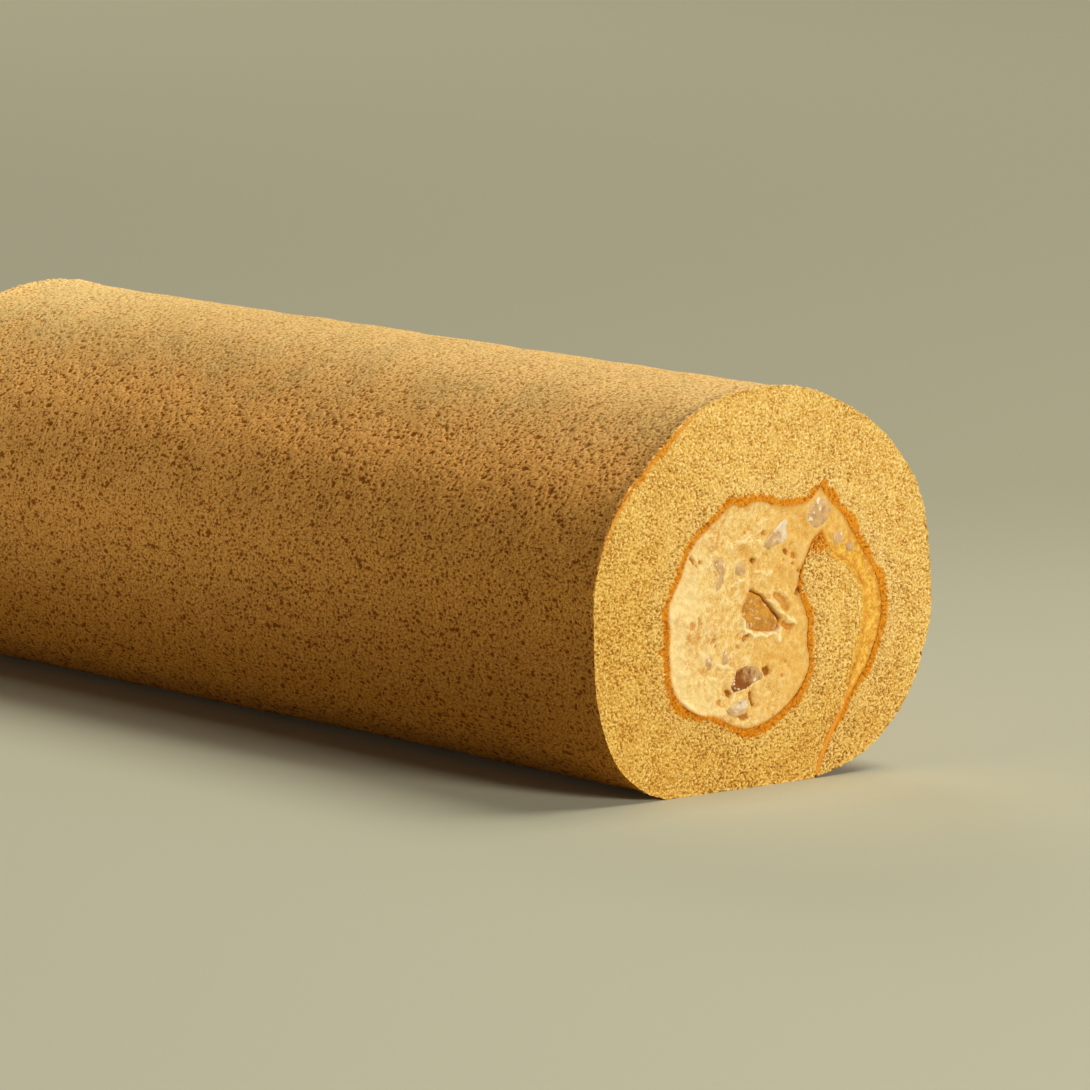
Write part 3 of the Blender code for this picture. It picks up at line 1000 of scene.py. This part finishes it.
def even_mesh(thing, step):
    """Makes a closed solid's mesh anew in even cells."""
    mesh = thing.modifiers.new("even", "REMESH")
    mesh.mode = "VOXEL"
    mesh.voxel_size = step
    take(thing)
    bpy.ops.object.modifier_apply(modifier=mesh.name)


def cream_height(settings):
    """Height of the lumps, drags and pits on a cut front, calm beside the skin and round the chunks."""

    def height(tree, place):
        flat = stretch(tree, place, (0.0, 1.0, 1.0))
        normal = put(tree, "GeometryNodeInputNormal").outputs[0]
        facing = calc(tree, "ABSOLUTE", axes(tree, normal)[0])
        lumps, drags, pits = pattern(tree, smears, flat, 1.0 * MM)
        smear = settings.smear
        parts = total(tree, (lumps, 0.6, 4.2 * smear), (drags, 0.55, 1.2 * smear), (pits, 0.0, -1.6 * smear))
        return times(tree, times(tree, parts, named(tree, "calm")), ease(tree, facing, 0.3, 0.8))

    return height


def cream_material(settings):
    """Smeared cream, pale on the left and golden on the right, stained by the skin; paler lumps and stained
    hollows partly painted light and shade.
    """
    made, tree, shader = new_material(
        "cream", Roughness=0.5, Specular_IOR_Level=0.2, Subsurface_Weight=0.12, Subsurface_Scale=0.0015
    )
    shader.inputs["Subsurface Radius"].default_value = (1.0, 0.5, 0.2)
    at = object_place(tree, (0.0, 1.0, 1.0))
    _, across, up = axes(tree, at)
    lumps, drags, pits = pattern(tree, smears, at, 1.0 * MM)
    broad, fine = pattern(tree, mottle, at, 1.0 * MM)
    flecks = noise(tree, at, 1.2 * MM, 3.0, 0.65)
    heaped = total(tree, (lumps, 0.5, 1.4), (drags, 0.5, 1.0))
    aside = total(tree, (broad, 0.5, 40.0 * MM), (across, 0.0, 1.0))
    pale, stain = settings.pale, settings.stain
    # Paler on raised lumps and stained where low: partly the cream's own colour, partly painted light and
    # shade
    base = layered(
        tree,
        settings.cream,
        (heaped, -0.02, 0.30, 0.8, pale),
        (heaped, -0.05, -0.34, 0.55, stain),
        (broad, 0.50, 0.66, 0.5, stain),
        (fine, 0.5, 0.64, 0.4, stain),
        (fine, 0.5, 0.36, 0.5, pale),
        (flecks, 0.51, 0.64, 0.35, stain),
        (flecks, 0.49, 0.37, 0.55, pale),
        (aside, -8.0 * MM, 8.0 * MM, 0.55, settings.golden),
        (aside, -10.0 * MM, -22.0 * MM, 0.5, pale),
    )
    # Pale on the raised marks: partly the cream's own colour, partly painted light
    base = tint(tree, attribute(tree, "pale"), base, pale)

    yellow = shade(tree, settings.strip, (1.12, 1.40, 2.2))
    strip = layered(
        tree,
        settings.strip,
        (fine, 0.46, 0.60, 0.6, stain),
        (fine, 0.46, 0.36, 0.6, yellow),
        (flecks, 0.50, 0.60, 0.6, stain),
        (flecks, 0.50, 0.40, 0.8, yellow),
    )
    between = ease(tree, up, 48.0 * MM, 42.0 * MM, 0.3, 0.85)
    between = times(tree, between, ease(tree, across, 13.0 * MM, 17.5 * MM))
    base = tint(tree, between, base, strip)

    skin = total(tree, (fine, 0.5, 1.8 * MM), (attribute(tree, "skin"), 0.0, 1.0))
    beside = ease(tree, skin, 1.4 * MM, 0.1 * MM, 0.0, 0.75)
    # Stained in hollows, pits and beside the skin; in hollows and pits partly painted shade, and darkest in
    # the hollows' cores, partly painted shade
    marked = deepest(tree, attribute(tree, "stain"), (pits, 0.8), (beside, 1.0))
    speckled = total(tree, (fine, 0.5, 0.7), (marked, 0.0, 1.0))
    base = tint(tree, times(tree, marked, ease(tree, speckled, 0.0, 0.9)), base, stain)
    base = layered(tree, base, (marked, 0.75, 1.0, 0.6, [c * 0.35 for c in stain]))
    tail = times(tree, ease(tree, up, 18.0 * MM, 13.0 * MM), ease(tree, across, 12.0 * MM, 13.0 * MM))
    base = tint(tree, tail, base, shade(tree, settings.strip, (0.92, 0.68, 0.45)))
    tree.links.new(base, shader.inputs["Base Color"])
    tree.links.new(bump(tree, calc(tree, "ADD", fine, flecks), 0.4, 0.25 * MM), shader.inputs["Normal"])
    return made


def far_marks():
    """Marks like those of the near end, scattered anew for the far one."""
    chance = random.Random(SEED)
    made = []
    for path, radius, height, colour_share, *closed in NEAR_MARKS:
        if closed:
            continue
        turn = chance.uniform(0, math.tau)
        ahead = np.array([[math.cos(turn), math.sin(turn)], [-math.sin(turn), math.cos(turn)]])
        path = np.array(path)
        middle = np.array([chance.uniform(-16, 4), chance.uniform(17, 49)])
        made.append(((path - path.mean(axis=0)) @ ahead + middle, radius, height, colour_share))
    return made


def cream_end(name, outline, side, marks, settings, material):
    """One cut end of the filling: its front worked, and a bed pressed in for each chunk that shows there."""
    inner = side * (HALF_LENGTH - CREAM_END_DEPTH)
    made = prism(name, outline, inner, side * (HALF_LENGTH - CREAM_SET_BACK))
    even_mesh(made, settings.mesh_step)
    own = [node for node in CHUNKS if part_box(node)[1].x * side > 0 and node != SUNKEN_CHUNK]
    beds = [chunk_outline(node) / MM for node in own]
    work_front(made, side, outline, marks + [(bed, *BED) for bed in beds], beds)
    relief(made, "cream relief", cream_height(settings))
    finish_piece(made, [material], "cream_filling", angle=180)


# ---- Fruit ----


def fruit_material(name, colour_low, colour_high=None, gloss=0.35, grainy=0.15):
    """Translucent flesh that turns from one colour, low on the left, to another, high on the right, with
    painted glints.
    """
    made, tree, shader = new_material(
        name, Roughness=gloss, Specular_IOR_Level=0.5, Subsurface_Weight=0.1, Subsurface_Scale=0.002
    )
    shader.inputs["Subsurface Radius"].default_value = (1.0, 0.9, 0.8)
    colour_high = colour_high or [min(1.0, c * 1.15) for c in colour_low]
    at = object_place(tree)
    _, fine = pattern(tree, mottle, at, 1.0 * MM)
    clouds = noise(tree, at, 1.6 * MM, 3.0, 0.6)
    lean = total(tree, (clouds, 0.5, 1.0), (attribute(tree, "lean"), 0.0, 1.0))
    base = tint(tree, ease(tree, lean, 0.35, 0.75), colour_low, colour_high)
    dark = shade(tree, base, (0.72, 0.60, 0.45))
    bright = shade(tree, base, (1.3, 1.45, 1.9))
    base = layered(
        tree,
        base,
        (clouds, 0.50, 0.34, 0.7, dark),
        (clouds, 0.52, 0.72, 0.5, bright),
        (fine, 0.55, 0.70, grainy, bright),
        (fine, 0.46, 0.34, grainy, dark),
        # Painted highlights: small pale glints
        (noise(tree, at, 0.9 * MM, 0.0), 0.66, 0.76, 0.9 - 0.7 * grainy, (0.88, 0.78, 0.56)),
    )
    tree.links.new(base, shader.inputs["Base Color"])
    tree.links.new(bump(tree, noise(tree, at, 1.0 * MM, 2.0), 0.35, 0.3 * MM), shader.inputs["Normal"])
    return made


def chunk_outline(node):
    """Where a chunk is cut: its own shape about its solid's middle, or an uneven one that fills the solid."""
    low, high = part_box(node)
    middle = np.array([(low.y + high.y) / 2, (low.z + high.z) / 2])
    if node in CHUNK_SHAPES:
        return middle + np.array(CHUNK_SHAPES[node]) * MM
    chance = random.Random(node)
    corners = read(frame["nodes"][node].data.vertices, "co", 3)[:, 1:] - middle
    outline = []
    for turn in range(CHUNK_CORNERS):
        angle = (turn + chance.uniform(-0.3, 0.3)) * math.tau / CHUNK_CORNERS
        ahead = np.array([math.cos(angle), math.sin(angle)])
        outline.append(middle + ahead * (corners @ ahead).max() * chance.uniform(0.85, 1.2))
    return np.array(outline)


def fruit_chunk(node, set_back, settings, material):
    """One chunk, sliced at the cut end: its outline run back into the roll, with worn, uneven faces."""
    low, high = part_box(node)
    side = 1 if high.x > 0 else -1
    outer = side * (HALF_LENGTH - set_back)
    inner = low.x if side > 0 else high.x
    made = prism(node.replace("fruit_chunk", "fruit"), chunk_outline(node), inner, outer)
    edit(made, "EDGE")
    bpy.ops.mesh.bevel(offset=0.2 * MM, segments=1)
    done()
    even_mesh(made, settings.mesh_step)

    def height(tree, place):
        lumps = noise(tree, place, 1.8 * MM, 3.0, 0.6)
        return total(tree, (lumps, 0.53, 3.0 * settings.grain))

    relief(made, "fruit relief", height)
    places = read(made.data.vertices, "co", 3)
    rightward = (places[:, 1] - low.y) / (high.y - low.y)
    upward = (places[:, 2] - low.z) / (high.z - low.z)
    store(made, "lean", (rightward + upward) / 2)
    finish_piece(made, [material], node, angle=180)


# ---- Operators ----


def soft_light(name, towards, distance, size, power):
    """A square light that stands in a direction from the roll and faces it."""
    towards = Vector(towards).normalized()
    aim = Vector((0.0, 0.0, (CAD_LOW.z + CAD_HIGH.z) / 2))
    deselect()
    bpy.ops.object.light_add(type="AREA", location=aim + distance * towards)
    light = bpy.context.object
    light.name = name
    light.data.size = size
    light.data.energy = power
    light.visible_camera = False
    light.rotation_euler = towards.to_track_quat("Z", "Y").to_euler()


class RollOperator:
    bl_options = {"REGISTER", "UNDO"}


class OBJECT_OT_roll_sponge(RollOperator, bpy.types.Operator):
    """Models the sponge sheet: its two cut ends and the outer turn between them"""

    bl_idname = "object.roll_sponge"
    bl_label = "Sponge"

    def execute(self, context):
        settings = context.scene.roll_sponge
        materials = [crumb_material(settings, context.scene.roll_cream.strip), outside_material(settings)]
        section = Section(settings.end_step)
        sponge_end("sponge_near_end", section, 1, settings, materials)
        sponge_end("sponge_far_end", section, -1, settings, materials)
        section = Section(settings.body_step)
        stops = np.linspace(-HALF_LENGTH + END_DEPTH, HALF_LENGTH - END_DEPTH, BODY_PIECES + 1)
        for number, (start, stop) in enumerate(zip(stops, stops[1:]), start=1):
            sponge_body(f"sponge_body_{number}", section, start, stop, settings, materials)
        return {"FINISHED"}


class OBJECT_OT_roll_cream(RollOperator, bpy.types.Operator):
    """Models the cream filling: its two cut ends and the hidden length between them"""

    bl_idname = "object.roll_cream"
    bl_label = "Cream"

    def execute(self, context):
        settings = context.scene.roll_cream
        outline = filling_outline(Section(context.scene.roll_sponge.body_step))
        material = cream_material(settings)
        cream_end("cream_near_end", outline, 1, NEAR_MARKS, settings, material)
        cream_end("cream_far_end", outline, -1, far_marks(), settings, material)
        inner = HALF_LENGTH - CREAM_END_DEPTH - 0.1 * MM
        middle = prism("cream_middle", outline, -inner, inner)
        finish_piece(middle, [material], "cream_filling")
        return {"FINISHED"}


class OBJECT_OT_roll_fruit(RollOperator, bpy.types.Operator):
    """Models the fruit chunks that show at the two cut ends"""

    bl_idname = "object.roll_fruit"
    bl_label = "Fruit"

    def execute(self, context):
        settings = context.scene.roll_fruit
        pale = fruit_material("fruit_pale", settings.pale)
        amber = fruit_material("fruit_amber", settings.amber, gloss=0.5, grainy=0.8)
        brown = fruit_material("fruit_brown", settings.brown, settings.pale, gloss=0.15)
        # Painted glare: these chunks turn much lighter towards the upper right
        painted_glare = fruit_material("fruit_painted_glare", settings.pale, [c**0.45 for c in settings.pale])
        # Material and set back from the cut end, where they aren't those of most chunks
        special = {
            "fruit_chunk_04": (painted_glare, 0.05 * MM),
            "fruit_chunk_11": (painted_glare, 0.05 * MM),
            "fruit_chunk_10": (brown, 0.05 * MM),
            "fruit_chunk_13": (brown, 0.1 * MM),
            "fruit_chunk_19": (amber, 0.2 * MM),
            SUNKEN_CHUNK: (amber, 1.1 * MM),
        }
        for node in CHUNKS:
            material, set_back = special.get(node, (pale, 0.08 * MM))
            fruit_chunk(node, set_back, settings, material)
        return {"FINISHED"}


class OBJECT_OT_roll_stage(RollOperator, bpy.types.Operator):
    """Makes the floor, the lights and the camera"""

    bl_idname = "object.roll_stage"
    bl_label = "Stage"

    def execute(self, context):
        settings = context.scene.roll_stage
        deselect()
        bpy.ops.mesh.primitive_plane_add(size=30.0)
        floor = context.object
        floor.name = "floor"
        made, tree, shader = new_material("floor", Roughness=0.9, Specular_IOR_Level=0.1)
        # The floor is painted darker just behind the roll and lighter again far off: painted shade and
        # painted light
        away = vector(tree, "DOT_PRODUCT", object_place(tree), FLOOR_FADE, "Value")
        painted_light_farther = [c * 1.25 for c in settings.floor_painted_shade]
        behind = (away, 0.02, 0.34, 1.0, settings.floor_painted_shade)
        base = layered(tree, settings.floor, behind, (away, 0.7, 2.1, 1.0, painted_light_farther))
        tree.links.new(base, shader.inputs["Base Color"])
        floor.data.materials.append(made)
        world = bpy.data.worlds.new("studio")
        world.use_nodes = True
        back = world.node_tree.nodes["Background"]
        back.inputs["Color"].default_value = (1.0, 0.98, 0.92, 1.0)
        back.inputs["Strength"].default_value = settings.fill
        context.scene.world = world
        soft_light("key", (0.11, 0.46, 0.88), 2.5, 1.25, settings.key)
        soft_light("side", (0.95, 0.04, 0.29), 2.0, 0.5, settings.side)
        soft_light("front", (-0.60, -0.80, 0.09), 2.0, 0.3, settings.front)
        soft_light("back", (-0.80, 0.40, 0.45), 2.8, 1.0, settings.back)
        deselect()
        bpy.ops.object.camera_add(location=CAMERA_PLACE)
        camera = context.object
        camera.rotation_euler = Vector(CAMERA_AIM).to_track_quat("-Z", "Y").to_euler()
        camera.data.lens = settings.lens
        camera.data.sensor_width = 36.0
        context.scene.camera = camera
        context.scene.view_settings.view_transform = "Standard"
        return {"FINISHED"}


class VIEW3D_PT_roll(bpy.types.Panel):
    """Lists the roll's pieces"""

    bl_idname = "VIEW3D_PT_roll"
    bl_label = "Swiss Roll Cake"
    bl_space_type = "VIEW_3D"
    bl_region_type = "UI"
    bl_category = "Roll"

    def draw(self, context):
        for group, operator in PIECES:
            box = self.layout.box()
            box.operator(operator)
            settings = getattr(context.scene, group)
            for name in settings.__annotations__:
                box.prop(settings, name)


PIECES = [
    ("roll_sponge", "object.roll_sponge"),
    ("roll_cream", "object.roll_cream"),
    ("roll_fruit", "object.roll_fruit"),
    ("roll_stage", "object.roll_stage"),
]
GROUPS = {
    "roll_sponge": SpongeSettings,
    "roll_cream": CreamSettings,
    "roll_fruit": FruitSettings,
    "roll_stage": StageSettings,
}
CLASSES = [
    *GROUPS.values(),
    OBJECT_OT_roll_sponge,
    OBJECT_OT_roll_cream,
    OBJECT_OT_roll_fruit,
    OBJECT_OT_roll_stage,
    VIEW3D_PT_roll,
]


def register():
    for one in CLASSES:
        bpy.utils.register_class(one)
    for name, group in GROUPS.items():
        setattr(bpy.types.Scene, name, PointerProperty(type=group))


def unregister():
    for name in GROUPS:
        delattr(bpy.types.Scene, name)
    for one in reversed(CLASSES):
        bpy.utils.unregister_class(one)


def main():
    register()
    bpy.ops.object.roll_sponge()
    bpy.ops.object.roll_cream()
    bpy.ops.object.roll_fruit()
    bpy.ops.object.roll_stage()


if __name__ == "__main__":
    main()
